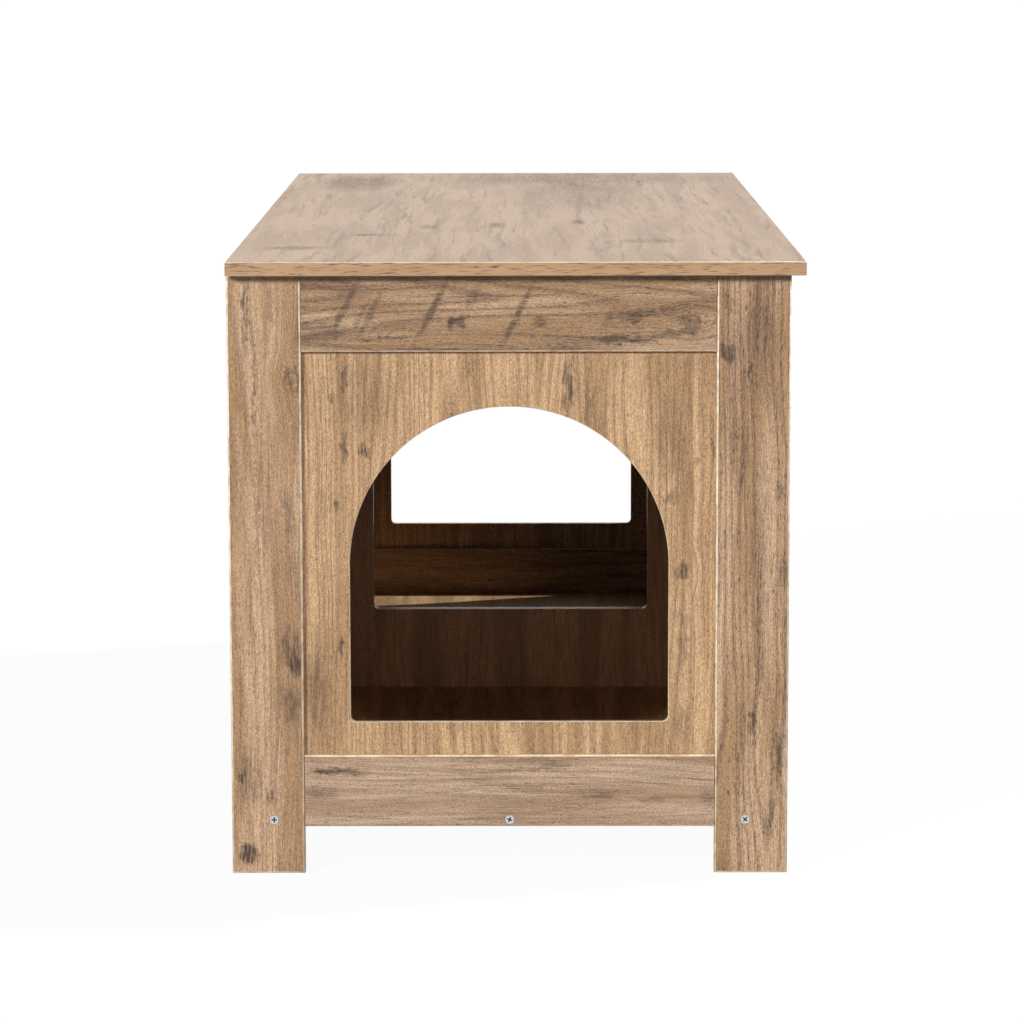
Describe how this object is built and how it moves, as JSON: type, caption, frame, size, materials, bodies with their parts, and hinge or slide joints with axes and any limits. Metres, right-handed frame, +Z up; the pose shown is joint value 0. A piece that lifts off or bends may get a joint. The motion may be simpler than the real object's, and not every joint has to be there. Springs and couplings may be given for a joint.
{
  "type": "cat litter box cabinet",
  "caption": "Long low wood-grain cabinet that hides a litter box: framed ends with an arched way in, an arched divider inside, inset framed doors in front and a flat top.",
  "frame": {"origin": "on the floor, at the middle of the footprint of the whole object, knobs included", "axes": "+X along the length, from the left end to the right end as seen from the doors; +Y from the doors to the back; +Z up"},
  "size_m": [1.2, 0.512, 0.54],
  "materials": {
    "top_laminate": "printed weathered-oak laminate, pale greyish pink tan, satin",
    "frame_laminate": "printed rustic oak laminate with dark streaks and knots, satin",
    "panel_laminate": "printed honey oak laminate, satin",
    "zinc_steel": "bright zinc plating",
    "black_iron": "matt black powder coat",
    "catch_plastic": "brown moulded plastic",
    "black_plastic": "black moulded plastic"
  },
  "bodies": {
    "carcass": {"top_board": "top_laminate", "floor_board": "panel_laminate", "divider_panel": "panel_laminate", "centre_foot": "black_plastic", "left_end_front_stile": "frame_laminate", "left_end_back_stile": "frame_laminate", "left_end_bottom_rail": "frame_laminate", "left_end_top_rail": "frame_laminate", "left_end_arch_panel": "panel_laminate", "left_end_screw_1": "zinc_steel", "left_end_screw_2": "zinc_steel", "left_end_screw_3": "zinc_steel", "right_end_front_stile": "frame_laminate", "right_end_back_stile": "frame_laminate", "right_end_bottom_rail": "frame_laminate", "right_end_top_rail": "frame_laminate", "right_end_arch_panel": "panel_laminate", "right_end_screw_1": "zinc_steel", "right_end_screw_2": "zinc_steel", "right_end_screw_3": "zinc_steel", "front_bottom_rail": "frame_laminate", "front_top_rail": "frame_laminate", "front_centre_stile": "frame_laminate", "back_bottom_rail": "frame_laminate", "back_top_rail": "frame_laminate", "back_centre_stile": "frame_laminate", "back_panel_left": "panel_laminate", "back_panel_right": "panel_laminate", "left_door_upper_hinge_frame_leaf": "black_iron", "left_door_upper_hinge_pin": "black_iron", "left_door_lower_hinge_frame_leaf": "black_iron", "left_door_lower_hinge_pin": "black_iron", "right_door_upper_hinge_frame_leaf": "black_iron", "right_door_upper_hinge_pin": "black_iron", "right_door_lower_hinge_frame_leaf": "black_iron", "right_door_lower_hinge_pin": "black_iron", "left_catch": "catch_plastic", "right_catch": "catch_plastic"},
    "left_door": {"left_door_hinge_stile": "frame_laminate", "left_door_latch_stile": "frame_laminate", "left_door_top_rail": "frame_laminate", "left_door_bottom_rail": "frame_laminate", "left_door_panel": "panel_laminate", "left_door_knob": "black_iron", "left_door_knob_screw": "zinc_steel", "left_door_strike_plate": "zinc_steel", "left_door_upper_hinge_door_leaf": "black_iron", "left_door_lower_hinge_door_leaf": "black_iron"},
    "right_door": {"right_door_hinge_stile": "frame_laminate", "right_door_latch_stile": "frame_laminate", "right_door_top_rail": "frame_laminate", "right_door_bottom_rail": "frame_laminate", "right_door_panel": "panel_laminate", "right_door_knob": "black_iron", "right_door_knob_screw": "zinc_steel", "right_door_strike_plate": "zinc_steel", "right_door_upper_hinge_door_leaf": "black_iron", "right_door_lower_hinge_door_leaf": "black_iron"}
  },
  "joints": [
    {"name": "left_door_swing", "type": "hinge", "parent": "carcass", "child": "left_door", "pos_m": [-0.5701, -0.2289, 0.297], "axis": [0, 0, -1], "range_deg": [0, 110]},
    {"name": "right_door_swing", "type": "hinge", "parent": "carcass", "child": "right_door", "pos_m": [0.5701, -0.2289, 0.297], "axis": [0, 0, 1], "range_deg": [0, 110]}
  ]
}
